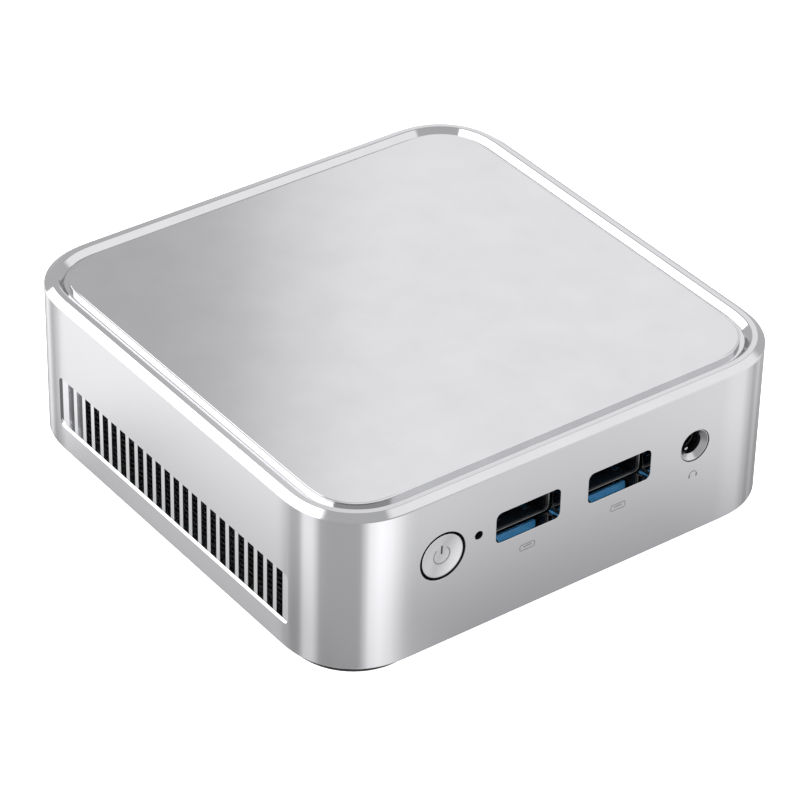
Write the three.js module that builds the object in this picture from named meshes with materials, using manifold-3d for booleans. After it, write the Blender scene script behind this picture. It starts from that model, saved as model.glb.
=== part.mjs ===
// A palm-sized desktop computer in a satin aluminium case, with its board, cooler and connectors inside.
// Millimetres, +Z up, front towards -Y. The origin is on the surface it stands on, under the body's middle.
import * as THREE from "three";
import { mergeVertices } from "three/addons/utils/BufferGeometryUtils.js";
import Module from "manifold-3d";

const wasm = await Module();
wasm.setup();

// Case
const BODY_SIDE = 105;
const CORNER_R = 15.4;
const FOOT_HEIGHT = 1.6;
const RIM_TOP = 35;
const WALL = 2.5;
const CHAMFER = { inset: 1.45, drop: 1.05 };
const RIM = { flatInset: 2.6, lipInset: 3.9, bevelDrop: 1.2, underside: 33.2 };
const COVER = { top: 34.62, edgeInset: 4.74, edgeChamfer: 0.24, flangeInset: 2.8, flangeTop: 32.9 };
const COVER_STEP = { inset: 4.05, top: 33.74 };
const COVER_UNDERSIDE = { bottom: 31.7, pocketInset: 6.5, pocketTop: 33 };
const BASE = { inset: 2.8, thickness: 2 };
const FRONT_FACE = -BODY_SIDE / 2;
const REAR_FACE = BODY_SIDE / 2;

// Side vents: a shallow recess with full-height slots, the last two of them blind pockets
const VENT = { middleY: -0.4, halfLength: 37.8, low: 6.85, high: 17.95, cornerR: 1.1, recess: 0.4, web: 1.1 };
const SLOT = { count: 24, blind: 2, width: 1.9, pitch: 3, middleY: -0.65, low: 7.23, pocketDepth: 1.2 };
const VENT_RELIEF = { farInset: 0.8, nearInset: 0.1, overhang: 0.5 };
const VENT_BLOCK = { depth: 3.6, start: 29.5, end: 35.9, below: 1 };
const REAR_SLOT = { count: 16, low: 7.1, high: 14.1 };

// Corner bosses, feet and screws
const BOSS = {
  place: BODY_SIDE / 2 - CORNER_R, radius: 4, bottom: 3.9, top: 17.1,
  coverHoleR: 1.4, coverHoleTop: 9.2, boardHoleR: 1.2, boardHoleBottom: 12.2,
};
const FOOT = { place: 38.4, outerR: 12.6, innerR: 5.2, edge: 0.15 };
const GRILLE = { rings: [{ count: 12, r: 12.5, length: 8 }, { count: 24, r: 23.5, length: 10 }], slot: 2 };
const BRACKET_HOLE = { x: 37.5, radius: 1.3 };

// Board and cooler
const BOARD = { side: 96.8, cornerR: 11.6, bottom: 17.4, top: 18.6 };
const HEATSINK = {
  length: 88, width: 60, finBottom: 10.6, baseBottom: 14.1, baseTop: 15.7, fins: 25, fin: 0.8,
};
const FAN = {
  side: 64, bottom: 4.2, top: 10.2, mouthR: 29, bladeR: 28.2, hubR: 11, blades: 11, baseBottom: 9.4,
};

// Connectors: x is the middle, z the height of the middle above the floor
const USB = {
  z: 21.9, holeW: 14.5, holeH: 6.6, holeR: 1.25,
  shellW: 13.3, shellH: 6, sheet: 0.4,
  tongueHalfW: 5.9, tongueLow: -0.4, tongueHigh: 1.5,
};
const FRONT_USB = { xs: [-10.15, 10.75], mouth: 2.8, tongueFront: 5, length: 13.7 };
const REAR_USB = { xs: [-13.85, -29.85], mouth: 0.3, tongueFront: 4.7, length: 12.4 };
const BUTTON = { x: -29.2, z: 21.2, holeR: 5, capR: 4.65, flangeR: 5.9, stemR: 1.5 };
const LIGHT = { x: -21.3, z: 22.4, holeR: 0.95, pipeR: 0.65 };
const AUDIO = { x: 28.5, z: 21.6, holeR: 3.55, sleeveR: 3.2, sleeveBoreR: 2.35, boreR: 1.9 };
const POWER = { x: 33.1, z: 23.1, holeR: 4, noseR: 3.7, boreR: 2.9, pinR: 1 };
const VIDEO = { x: 20, z: 21.7, holeW: 15.6, holeH: 6.2, shellW: 15, shellH: 5.6, sheet: 0.45, foot: 1.6 };
const NETWORK = { x: 2.9, holeW: 16.4, shellW: 15.8, bottom: 18.8, top: 31.2, sheet: 0.4, length: 15 };

const GAP = 0.3;
const REACH = 1; // how far a cutting tool runs past the face that it cuts
const SLACK = 0.01; // how far a tool passes a face that another cut made
const CURVE_STEPS = 5;

// Finishes
const SATIN_ALUMINIUM = { color: 0xc6c7ca, roughness: 0.42, metalness: 0.9 };
const POLISHED_STEEL = { color: 0xb9bcc2, roughness: 0.2, metalness: 1 };
const SCREW_STEEL = { color: 0x55575c, roughness: 0.35, metalness: 1 };
const BLACK_PLASTIC = { color: 0x121315, roughness: 0.55, metalness: 0 };
const BLACK_RUBBER = { color: 0x0d0d0e, roughness: 0.85, metalness: 0 };
const BLUE_PLASTIC = { color: 0x2f79b5, roughness: 0.45, metalness: 0 };
const CLEAR_PLASTIC = { color: 0x2b2d31, roughness: 0.2, metalness: 0 };
const BOARD_GREEN = { color: 0x12301f, roughness: 0.5, metalness: 0.1 };
const CHIP_BLACK = { color: 0x1b1c1f, roughness: 0.6, metalness: 0 };
const FIN_ALUMINIUM = { color: 0x9a9ca0, roughness: 0.45, metalness: 0.9 };
const CELL_STEEL = { color: 0xc9cbcf, roughness: 0.25, metalness: 1 };

// ---- shapes ----

// A closed geometry as a solid that can be joined and cut. What already is one is returned as it is.
function solid(shape) {
  if (!shape.isBufferGeometry) return shape;
  const bare = shape.clone();
  bare.deleteAttribute("normal");
  bare.deleteAttribute("uv");
  const merged = mergeVertices(bare);
  return new wasm.Manifold(
    new wasm.Mesh({
      numProp: 3,
      vertProperties: merged.attributes.position.array,
      triVerts: new Uint32Array(merged.index.array),
    }),
  );
}

function join(first, ...rest) {
  return rest.reduce((whole, next) => whole.add(solid(next)), solid(first));
}

function cut(blank, ...tools) {
  return tools.reduce((left, tool) => left.subtract(solid(tool)), solid(blank));
}

function roundedRect(width, height, radius, cx = 0, cy = 0) {
  const x = width / 2 - radius;
  const y = height / 2 - radius;
  const shape = new THREE.Shape();
  shape.absarc(cx + x, cy + y, radius, 0, Math.PI / 2);
  shape.absarc(cx - x, cy + y, radius, Math.PI / 2, Math.PI);
  shape.absarc(cx - x, cy - y, radius, Math.PI, 1.5 * Math.PI);
  shape.absarc(cx + x, cy - y, radius, 1.5 * Math.PI, 2 * Math.PI);
  return shape;
}

// The body's plan outline, moved inwards by inset.
function bodyOutline(inset) {
  const side = BODY_SIDE - 2 * inset;
  return roundedRect(side, side, CORNER_R - inset);
}

function extruded(shape, depth, curveSegments) {
  return new THREE.ExtrudeGeometry(shape, { depth, bevelEnabled: false, curveSegments });
}

function prismZ(shape, z0, z1, steps = CURVE_STEPS) {
  return extruded(shape, z1 - z0, steps).translate(0, 0, z0);
}

// The outline is drawn in X and Z.
function prismY(shape, y0, y1, steps = 2) {
  return extruded(shape, y1 - y0, steps).rotateX(Math.PI / 2).translate(0, y1, 0);
}

// The outline is drawn in Y and Z.
function prismX(shape, x0, x1, steps = 2) {
  const turn = new THREE.Matrix4().set(0, 0, 1, 0, 1, 0, 0, 0, 0, 1, 0, 0, 0, 0, 0, 1);
  return extruded(shape, x1 - x0, steps).applyMatrix4(turn).translate(x0, 0, 0);
}

// An outline that is its full size in the middle and shrinks by size over thickness at both ends.
function bevelledPrism(shape, z0, z1, size, thickness) {
  const geometry = new THREE.ExtrudeGeometry(shape, {
    depth: z1 - z0 - 2 * thickness,
    bevelSize: size,
    bevelThickness: thickness,
    bevelSegments: 1,
    curveSegments: CURVE_STEPS,
  });
  return geometry.translate(0, 0, z0 + thickness);
}

function block(x0, x1, y0, y1, z0, z1) {
  const geometry = new THREE.BoxGeometry(x1 - x0, y1 - y0, z1 - z0);
  return geometry.translate((x0 + x1) / 2, (y0 + y1) / 2, (z0 + z1) / 2);
}

function rodZ(radius, z0, z1, x = 0, y = 0, sides = 16) {
  const geometry = new THREE.CylinderGeometry(radius, radius, z1 - z0, sides).rotateX(Math.PI / 2);
  return geometry.translate(x, y, (z0 + z1) / 2);
}

function rodY(radius, y0, y1, x = 0, z = 0, sides = 20) {
  const geometry = new THREE.CylinderGeometry(radius, radius, y1 - y0, sides);
  return geometry.translate(x, (y0 + y1) / 2, z);
}

// A profile of [radius, height] pairs, turned about Z.
function turnedZ(profile, sides) {
  const points = profile.map(([r, h]) => new THREE.Vector2(r, h));
  return new THREE.LatheGeometry(points, sides).rotateX(Math.PI / 2);
}

// A profile of [radius, distance] pairs, turned about Y.
function turnedY(profile, sides) {
  const points = profile.map(([r, h]) => new THREE.Vector2(r, h));
  return new THREE.LatheGeometry(points, sides);
}

function piece(parent, name, shape, finish, x = 0, y = 0, z = 0) {
  const cutMesh = solid(shape).getMesh();
  const geometry = new THREE.BufferGeometry();
  geometry.setAttribute("position", new THREE.BufferAttribute(cutMesh.vertProperties, 3));
  geometry.setIndex(new THREE.BufferAttribute(cutMesh.triVerts, 1));
  geometry.computeVertexNormals();
  const mesh = new THREE.Mesh(geometry, new THREE.MeshStandardMaterial(finish));
  mesh.name = name;
  mesh.position.set(x, y, z);
  parent.add(mesh);
}

// The middles of count slots, pitch apart.
function slotMiddles(count, centre) {
  return Array.from({ length: count }, (_, i) => centre + (i - (count - 1) / 2) * SLOT.pitch);
}

// ---- case ----

// side is -1 for the left wall and 1 for the right one.
function ventBlock(side) {
  const inner = side * (BODY_SIDE / 2 - VENT_BLOCK.depth);
  const outer = side * (BODY_SIDE / 2 - WALL / 2);
  const [x0, x1] = [Math.min(inner, outer), Math.max(inner, outer)];
  return block(x0, x1, VENT_BLOCK.start, VENT_BLOCK.end, VENT.low - VENT_BLOCK.below, VENT.high);
}

function cutVent(shell, side) {
  const face = BODY_SIDE / 2;
  const span = (depth0, depth1) => [side * (face - depth0), side * (face - depth1)].sort((a, b) => a - b);
  const middleZ = (VENT.low + VENT.high) / 2;
  const outline = roundedRect(2 * VENT.halfLength, VENT.high - VENT.low, VENT.cornerR, VENT.middleY, middleZ);
  const { farInset, nearInset, overhang } = VENT_RELIEF;
  const relief = block(
    ...span(VENT.recess + VENT.web, WALL + SLACK),
    VENT.middleY - VENT.halfLength + farInset, VENT_BLOCK.start - nearInset,
    VENT.low - overhang, VENT.high + overhang,
  );
  let left = cut(shell, prismX(outline, ...span(-REACH, VENT.recess)), relief);
  slotMiddles(SLOT.count, SLOT.middleY).forEach((y, i) => {
    const isBlind = i >= SLOT.count - SLOT.blind;
    const depth = isBlind ? SLOT.pocketDepth : WALL;
    const halfWidth = SLOT.width / 2;
    left = cut(
      left,
      block(...span(VENT.recess - nearInset, depth), y - halfWidth, y + halfWidth, SLOT.low, VENT.high),
    );
  });
  return left;
}

function cutRearSlots(shell) {
  return slotMiddles(REAR_SLOT.count, 0).reduce((left, x) => {
    const [x0, x1] = [x - SLOT.width / 2, x + SLOT.width / 2];
    const [y0, y1] = [REAR_FACE - WALL - REACH, REAR_FACE + REACH];
    return cut(left, block(x0, x1, y0, y1, REAR_SLOT.low, REAR_SLOT.high));
  }, shell);
}

function cornerBosses() {
  const bosses = [];
  for (const sx of [-1, 1]) {
    for (const sy of [-1, 1]) {
      const [x, y] = [sx * BOSS.place, sy * BOSS.place];
      const wallX = sx * (BODY_SIDE / 2 - WALL / 2);
      const web = block(Math.min(x, wallX), Math.max(x, wallX), y - 1, y + 1, BOSS.bottom + 1, BOSS.top - 1);
      bosses.push(join(rodZ(BOSS.radius, BOSS.bottom, BOSS.top, x, y, 12), web));
    }
  }
  return bosses;
}

function bossHoles() {
  const holes = [];
  for (const sx of [-1, 1]) {
    for (const sy of [-1, 1]) {
      const [x, y] = [sx * BOSS.place, sy * BOSS.place];
      holes.push(rodZ(BOSS.coverHoleR, BOSS.bottom - REACH, BOSS.coverHoleTop, x, y, 8));
      holes.push(rodZ(BOSS.boardHoleR, BOSS.boardHoleBottom, BOSS.top + REACH, x, y, 8));
    }
  }
  return holes;
}

function frontHoles() {
  const [y0, y1] = [FRONT_FACE - REACH, FRONT_FACE + WALL + REACH];
  const usb = FRONT_USB.xs.map((x) => prismY(roundedRect(USB.holeW, USB.holeH, USB.holeR, x, USB.z), y0, y1));
  return [
    ...usb,
    rodY(BUTTON.holeR, y0, y1, BUTTON.x, BUTTON.z, 24),
    rodY(LIGHT.holeR, y0, y1, LIGHT.x, LIGHT.z, 12),
    rodY(AUDIO.holeR, y0, y1, AUDIO.x, AUDIO.z, 20),
  ];
}

function rearHoles() {
  const [y0, y1] = [REAR_FACE - WALL - REACH, REAR_FACE + REACH];
  const usb = REAR_USB.xs.map((x) => prismY(roundedRect(USB.holeW, USB.holeH, USB.holeR, x, USB.z), y0, y1));
  const networkZ = (NETWORK.bottom + NETWORK.top) / 2;
  const networkH = NETWORK.top - NETWORK.bottom + 2 * GAP;
  return [
    ...usb,
    rodY(POWER.holeR, y0, y1, POWER.x, POWER.z, 20),
    prismY(roundedRect(VIDEO.holeW, VIDEO.holeH, 0.8, VIDEO.x, VIDEO.z), y0, y1),
    prismY(roundedRect(NETWORK.holeW, networkH, 0.5, NETWORK.x, networkZ), y0, y1),
  ];
}

function housingShell() {
  const blank = bevelledPrism(
    bodyOutline(CHAMFER.inset), FOOT_HEIGHT - 4, RIM_TOP, CHAMFER.inset, CHAMFER.drop,
  );
  const below = block(-BODY_SIDE, BODY_SIDE, -BODY_SIDE, BODY_SIDE, FOOT_HEIGHT - 9, FOOT_HEIGHT);
  const cavity = prismZ(bodyOutline(WALL), 0, RIM.underside);
  const throat = prismZ(bodyOutline(RIM.lipInset), RIM.underside - REACH, RIM_TOP);
  const bevelBottom = RIM_TOP - RIM.bevelDrop;
  const innerBevel = bevelledPrism(
    bodyOutline(RIM.lipInset), bevelBottom, RIM_TOP + 4, RIM.lipInset - RIM.flatInset, RIM.bevelDrop,
  );
  const ring = cut(blank, below, cavity, throat, innerBevel);
  const braced = join(ring, ...cornerBosses(), ventBlock(-1), ventBlock(1));
  const drilled = cut(braced, ...bossHoles(), ...frontHoles(), ...rearHoles());
  return cutRearSlots(cutVent(cutVent(drilled, -1), 1));
}

function topCover() {
  const plate = bevelledPrism(
    bodyOutline(COVER.edgeInset), COVER.flangeTop - 0.5, COVER.top, COVER.edgeChamfer, COVER.edgeChamfer,
  );
  const step = prismZ(bodyOutline(COVER_STEP.inset), COVER.flangeTop - 0.5, COVER_STEP.top);
  const flange = prismZ(bodyOutline(COVER.flangeInset), COVER_UNDERSIDE.bottom, COVER.flangeTop);
  const pocket = prismZ(
    bodyOutline(COVER_UNDERSIDE.pocketInset), COVER_UNDERSIDE.bottom - REACH, COVER_UNDERSIDE.pocketTop,
  );
  return cut(join(plate, step, flange), pocket);
}

function grilleSlots() {
  const [z0, z1] = [FOOT_HEIGHT - REACH, FOOT_HEIGHT + BASE.thickness + REACH];
  return GRILLE.rings.flatMap(({ count, r, length }) =>
    Array.from({ length: count }, (_, i) => {
      const slot = block(r - length / 2, r + length / 2, -GRILLE.slot / 2, GRILLE.slot / 2, z0, z1);
      return slot.rotateZ((2 * Math.PI * i) / count);
    }),
  );
}

function bottomCover() {
  const [z0, z1] = [FOOT_HEIGHT, FOOT_HEIGHT + BASE.thickness];
  const plate = prismZ(bodyOutline(BASE.inset), z0, z1);
  const bracketHole = (x) => rodZ(BRACKET_HOLE.radius, z0 - REACH, z1 + REACH, x, 0, 12);
  const holes = [-BRACKET_HOLE.x, BRACKET_HOLE.x].map(bracketHole);
  for (const sx of [-1, 1]) {
    for (const sy of [-1, 1]) {
      const [x, y] = [sx * BOSS.place, sy * BOSS.place];
      holes.push(rodZ(1.4, z0 - REACH, z1 + REACH, x, y, 8), rodZ(3.3, z0 - REACH, z0 + 1, x, y, 12));
    }
  }
  return cut(plate, ...holes, ...grilleSlots());
}

function foot() {
  const { outerR, innerR, edge } = FOOT;
  const top = FOOT_HEIGHT - 0.02;
  return turnedZ(
    [[innerR, 0], [outerR - edge, 0], [outerR, edge], [outerR, top], [innerR, top], [innerR, 0]],
    24,
  );
}

// A pan-head screw standing on its head, with the head's outer face at 0, and a round drive socket in it.
function screw(headR, headH, shankR, length) {
  const socketR = headR * 0.42;
  return turnedZ(
    [
      [0, headH * 0.5], [socketR, headH * 0.5], [socketR, 0], [headR, 0],
      [headR, headH], [shankR, headH], [shankR, length], [0, length],
    ],
    10,
  );
}

function dustMesh() {
  const [y0, y1] = [VENT.middleY - VENT.halfLength + 1.1, VENT_BLOCK.start - 0.4];
  const [z0, z1] = [VENT.low - 0.2, VENT.high + 0.2];
  const windows = slotMiddles(SLOT.count, SLOT.middleY).slice(0, SLOT.count - SLOT.blind).map((y) =>
    block(-1, 1, y - SLOT.width / 2, y + SLOT.width / 2, VENT.low + 0.4, VENT.high - 0.4),
  );
  return cut(block(-0.2, 0.2, y0, y1, z0, z1), ...windows);
}

// ---- board and cooler ----

function motherboard() {
  const outline = roundedRect(BOARD.side, BOARD.side, BOARD.cornerR);
  const holes = [];
  for (const sx of [-1, 1]) {
    for (const sy of [-1, 1]) {
      const [x, y] = [sx * BOSS.place, sy * BOSS.place];
      holes.push(rodZ(1.2, BOARD.bottom - REACH, BOARD.top + REACH, x, y, 8));
    }
  }
  const chips = [-44, 40.5].map((x) => block(x, x + 3.5, 6, 12, BOARD.top - 0.5, BOARD.top + 2));
  return join(cut(prismZ(outline, BOARD.bottom, BOARD.top, 4), ...holes), ...chips);
}

function processor() {
  const substrate = block(-15, 15, -13, 13, BOARD.bottom - 1, BOARD.bottom - 0.1);
  return join(substrate, block(-7, 7, -5, 5, HEATSINK.baseTop + 0.1, BOARD.bottom - 0.5));
}

// A comb outline in Y and Z, extruded along X.
function heatsink() {
  const { length, width, finBottom, baseBottom, baseTop, fins, fin } = HEATSINK;
  const pitch = (width - fin) / (fins - 1);
  const comb = new THREE.Shape();
  comb.moveTo(width / 2, baseTop);
  comb.lineTo(-width / 2, baseTop);
  for (let i = 0; i < fins; i += 1) {
    const y = -width / 2 + i * pitch;
    comb.lineTo(y, i ? baseBottom : baseTop);
    comb.lineTo(y, finBottom);
    comb.lineTo(y + fin, finBottom);
    comb.lineTo(y + fin, i < fins - 1 ? baseBottom : baseTop);
  }
  return prismX(comb, -length / 2, length / 2);
}

function fanFrame() {
  const { side, bottom, top, mouthR, hubR, baseBottom } = FAN;
  const body = prismZ(roundedRect(side, side, 4), bottom, top, 2);
  const ring = cut(body, rodZ(mouthR, bottom - 1, top + 1, 0, 0, 36));
  const struts = [0, 1, 2].map((i) =>
    block(hubR - 1, mouthR + 1, -1, 1, baseBottom, top).rotateZ((2 * Math.PI * i) / 3),
  );
  const motorBase = rodZ(hubR, baseBottom, top, 0, 0, 24);
  return cut(join(ring, motorBase, ...struts), rodZ(1.3, baseBottom - 1, top + 1, 0, 0, 12));
}

// One swept blade, drawn as a thin curved strip from the hub to the tip.
function fanBlade() {
  const { hubR, bladeR } = FAN;
  const blade = new THREE.Shape();
  blade.moveTo(hubR - 1, -0.6);
  blade.quadraticCurveTo(bladeR * 0.7, 0.5, bladeR * 0.93, 8.2);
  blade.lineTo(bladeR * 0.9, 8.9);
  blade.quadraticCurveTo(bladeR * 0.66, 2, hubR - 1, 0.8);
  return prismZ(blade, FAN.bottom + 0.5, FAN.baseBottom - 0.7, 3);
}

function fanRotor() {
  const hub = turnedZ(
    [
      [0, FAN.bottom + 0.3], [FAN.hubR - 1, FAN.bottom + 0.3], [FAN.hubR, FAN.bottom + 1],
      [FAN.hubR, FAN.baseBottom - GAP], [1, FAN.baseBottom - GAP], [1, FAN.top - 0.2], [0, FAN.top - 0.2],
    ],
    24,
  );
  const turn = (2 * Math.PI) / FAN.blades;
  const blades = Array.from({ length: FAN.blades }, (_, i) => fanBlade().rotateZ(i * turn));
  return join(hub, ...blades);
}

function memorySocket() {
  const [z0, z1] = [BOARD.top + 0.1, 24.6];
  const base = cut(block(-35.5, 35.5, 27.2, 33.5, z0, z1), block(-34.2, 34.2, 26, 29.4, 22, 24));
  return join(base, block(-37, -34.6, 3, 33.5, z0, z1), block(34.6, 37, 3, 33.5, z0, z1));
}

function memoryModule() {
  const chips = [-30, -14, 2, 18].map((x) => block(x, x + 12, 6, 17, 23, 24.6));
  return join(block(-33.8, 33.8, -1.5, 28.9, 22.4, 23.5), ...chips);
}

// Card sockets and cards run along X from the socket at x = 0 towards +X.
function cardSocket() {
  return cut(block(-4.5, 1, -11.2, 11.2, BOARD.top + 0.1, 23), block(-1.5, 2, -10.7, 10.7, 20.6, 22));
}

function card(length, chipCount) {
  const plate = cut(block(-1, length, -10.4, 10.4, 20.9, 21.7), rodZ(1.6, 20, 23, length, 0, 12));
  const pitch = (length - 10) / chipCount;
  const chips = Array.from({ length: chipCount }, (_, i) =>
    block(3 + i * pitch, 3 + i * pitch + pitch * 0.8, -7.5, 7.5, 21.5, 22.8),
  );
  return join(plate, ...chips);
}

function cellHolder() {
  const [z0, z1] = [BOARD.bottom - 0.9, BOARD.bottom - 0.1];
  const clip = (x) => block(x, x + 1, -2.5, 2.5, z0 - 2.2, z1);
  return join(block(-7.6, 7.6, -6.5, 6.5, z0, z1), clip(-7.6), clip(6.6));
}

// ---- connectors: each is drawn with the panel's outer face at y = 0 and runs inwards along +Y ----

function usbShell({ mouth, length }) {
  const { shellW, shellH, sheet } = USB;
  const outer = roundedRect(shellW, shellH, 0.9);
  const inner = roundedRect(shellW - 2 * sheet, shellH - 2 * sheet, 0.5);
  return cut(prismY(outer, mouth, mouth + length), prismY(inner, mouth - REACH, mouth + length + REACH));
}

function usbInsulator({ mouth, tongueFront, length }) {
  const halfW = USB.shellW / 2 - USB.sheet - GAP;
  const halfH = USB.shellH / 2 - USB.sheet - GAP;
  const back = mouth + length - 0.2;
  const base = block(-halfW, halfW, back - 4.5, back, -halfH, halfH);
  const { tongueHalfW, tongueLow, tongueHigh } = USB;
  const tongue = block(-tongueHalfW, tongueHalfW, tongueFront, back - 2, tongueLow, tongueHigh);
  return join(base, tongue);
}

function powerButtonCap() {
  const { capR, flangeR, stemR } = BUTTON;
  const flange = WALL + GAP;
  return turnedY(
    [
      [0, 0.25], [capR - 0.25, 0.1], [capR, 0.35], [capR, flange], [flangeR, flange],
      [flangeR, flange + 0.5], [stemR, flange + 0.5], [stemR, 5.1], [0, 5.1],
    ],
    24,
  );
}

function switchPlunger() {
  return turnedY([[0, 5.15], [1.2, 5.15], [1.2, 7.6], [0, 7.6]], 16);
}

function switchBody() {
  return cut(block(-3, 3, 7.1, 10.6, -2.5, 2.5), rodY(1.5, 6, 9, 0, 0, 16));
}

function lightPipe() {
  const lead = block(-1, 1, 5.2, 6.8, BOARD.top + 0.1 - LIGHT.z, 0.8);
  return join(rodY(LIGHT.pipeR, 0.15, 6, 0, 0, 12), lead);
}

function audioSleeve() {
  const { sleeveR, sleeveBoreR } = AUDIO;
  return turnedY(
    [
      [sleeveBoreR, 0.95], [sleeveR - 0.2, 0.15], [sleeveR, 0.35], [sleeveR, 2.9], [sleeveBoreR, 2.9],
      [sleeveBoreR, 0.95],
    ],
    20,
  );
}

function audioBody() {
  const low = BOARD.top + 0.2 - AUDIO.z;
  const box = block(-4, 4, 3.2, 14.2, low, -low + 0.2);
  return cut(box, rodY(AUDIO.boreR, 2, 12.5, 0, 0, 20));
}

function powerJackBody() {
  const low = BOARD.top + 0.2 - POWER.z;
  const box = block(-4.5, 4.5, 2.8, 12.4, low, 4.3);
  const nose = rodY(POWER.noseR, 0.3, 4, 0, 0, 20);
  const [bore, pinHole] = [rodY(POWER.boreR, -1, 9.5, 0, 0, 16), rodY(POWER.pinR + GAP, 9, 11.5, 0, 0, 10)];
  return cut(join(box, nose), bore, pinHole);
}

function powerJackPin() {
  const r = POWER.pinR;
  return turnedY([[0, 1.3], [r * 0.6, 1.4], [r, 1.9], [r, 11.2], [0, 11.2]], 12);
}

// A flat-topped socket outline whose lower corners are cut away.
function videoOutline(width, height, foot) {
  const shape = new THREE.Shape();
  shape.moveTo(width / 2, height / 2);
  shape.lineTo(-width / 2, height / 2);
  shape.lineTo(-width / 2, -height / 2 + foot);
  shape.lineTo(-width / 2 + foot, -height / 2);
  shape.lineTo(width / 2 - foot, -height / 2);
  shape.lineTo(width / 2, -height / 2 + foot);
  return shape;
}

function videoShell() {
  const { shellW, shellH, sheet, foot: cornerCut } = VIDEO;
  const outer = videoOutline(shellW, shellH, cornerCut);
  const inner = videoOutline(shellW - 2 * sheet, shellH - 2 * sheet, cornerCut - 0.2);
  return cut(prismY(outer, 0.3, 11.5), prismY(inner, -1, 12.5));
}

function videoInsulator() {
  const { shellW, shellH, sheet, foot: cornerCut } = VIDEO;
  const clear = sheet + GAP;
  const base = prismY(videoOutline(shellW - 2 * clear, shellH - 2 * clear, cornerCut - 0.1), 8, 11.3);
  return join(base, block(-5.8, 5.8, 4.7, 9, -0.5, 0.7));
}

function networkCage() {
  const { shellW, bottom, top, sheet, length } = NETWORK;
  const outer = block(-shellW / 2, shellW / 2, 0.3, length, bottom, top);
  const inner = block(-shellW / 2 + sheet, shellW / 2 - sheet, -1, length + 1, bottom + sheet, top - sheet);
  return cut(outer, inner);
}

function networkInsert() {
  const { shellW, bottom, top, sheet, length } = NETWORK;
  const clear = sheet + GAP;
  const body = block(-shellW / 2 + clear, shellW / 2 - clear, 0.6, length - 0.2, bottom + clear, top - clear);
  const cavity = block(-5.95, 5.95, -1, 11.5, bottom + 3.2, bottom + 10.2);
  const latchSlot = block(-2, 2, -1, 9, bottom + 1.6, bottom + 4);
  return cut(body, cavity, latchSlot);
}

// ---- assembly ----

const miniPc = new THREE.Group();

piece(miniPc, "housing_shell", housingShell(), SATIN_ALUMINIUM);
piece(miniPc, "top_cover", topCover(), SATIN_ALUMINIUM);
piece(miniPc, "bottom_cover", bottomCover(), BLACK_PLASTIC);

const CORNERS = [
  ["front_left", -1, -1],
  ["front_right", 1, -1],
  ["rear_left", -1, 1],
  ["rear_right", 1, 1],
];
const coverScrewHead = FOOT_HEIGHT - 0.6;
const boardScrewTop = BOARD.top + 1.4;
for (const [corner, sx, sy] of CORNERS) {
  const [x, y] = [sx * BOSS.place, sy * BOSS.place];
  const [footX, footY] = [sx * FOOT.place, sy * FOOT.place];
  piece(miniPc, `foot_${corner}`, foot(), BLACK_RUBBER, footX, footY);
  piece(miniPc, `cover_screw_${corner}`, screw(2.8, 1.5, 1, 7.8), SCREW_STEEL, x, y, coverScrewHead);
  const boardScrew = screw(2.4, 1.3, 0.8, 7.2).rotateX(Math.PI);
  piece(miniPc, `board_screw_${corner}`, boardScrew, SCREW_STEEL, x, y, boardScrewTop);
}

const meshX = BODY_SIDE / 2 - VENT.recess - VENT.web - 0.5;
piece(miniPc, "dust_mesh_left", dustMesh(), BLACK_PLASTIC, -meshX);
piece(miniPc, "dust_mesh_right", dustMesh(), BLACK_PLASTIC, meshX);

piece(miniPc, "motherboard", motherboard(), BOARD_GREEN);
piece(miniPc, "processor", processor(), CHIP_BLACK);
piece(miniPc, "heatsink", heatsink(), FIN_ALUMINIUM);
piece(miniPc, "fan_frame", fanFrame(), BLACK_PLASTIC);
piece(miniPc, "fan_rotor", fanRotor(), BLACK_PLASTIC);
piece(miniPc, "memory_socket", memorySocket(), BLACK_PLASTIC);
piece(miniPc, "memory_module", memoryModule(), BOARD_GREEN);

const CARD_ROW_Y = -22;
const driveLength = 41;
const wirelessLength = 29;
const driveBay = new THREE.Group();
driveBay.position.set(-39, CARD_ROW_Y, 0);
piece(driveBay, "drive_socket", cardSocket(), BLACK_PLASTIC);
piece(driveBay, "drive_module", card(driveLength, 3), BOARD_GREEN);
piece(driveBay, "drive_screw", screw(2, 0.8, 1.2, 3.2).rotateX(Math.PI), SCREW_STEEL, driveLength, 0, 22.7);
const wirelessBay = new THREE.Group();
wirelessBay.position.set(39, CARD_ROW_Y, 0);
wirelessBay.rotation.z = Math.PI;
piece(wirelessBay, "wireless_socket", cardSocket(), BLACK_PLASTIC);
piece(wirelessBay, "wireless_card", card(wirelessLength, 2), BOARD_GREEN);
piece(
  wirelessBay, "wireless_screw", screw(2, 0.8, 1.2, 3.2).rotateX(Math.PI), SCREW_STEEL,
  wirelessLength, 0, 22.7,
);
miniPc.add(driveBay, wirelessBay);

const CELL = { y: -40, radius: 6.25, thickness: 2 };
const cellTop = BOARD.bottom - 1;
piece(miniPc, "coin_cell_holder", cellHolder(), BLACK_PLASTIC, 0, CELL.y);
const cell = rodZ(CELL.radius, cellTop - CELL.thickness, cellTop, 0, 0, 24);
piece(miniPc, "coin_cell", cell, CELL_STEEL, 0, CELL.y);

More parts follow.
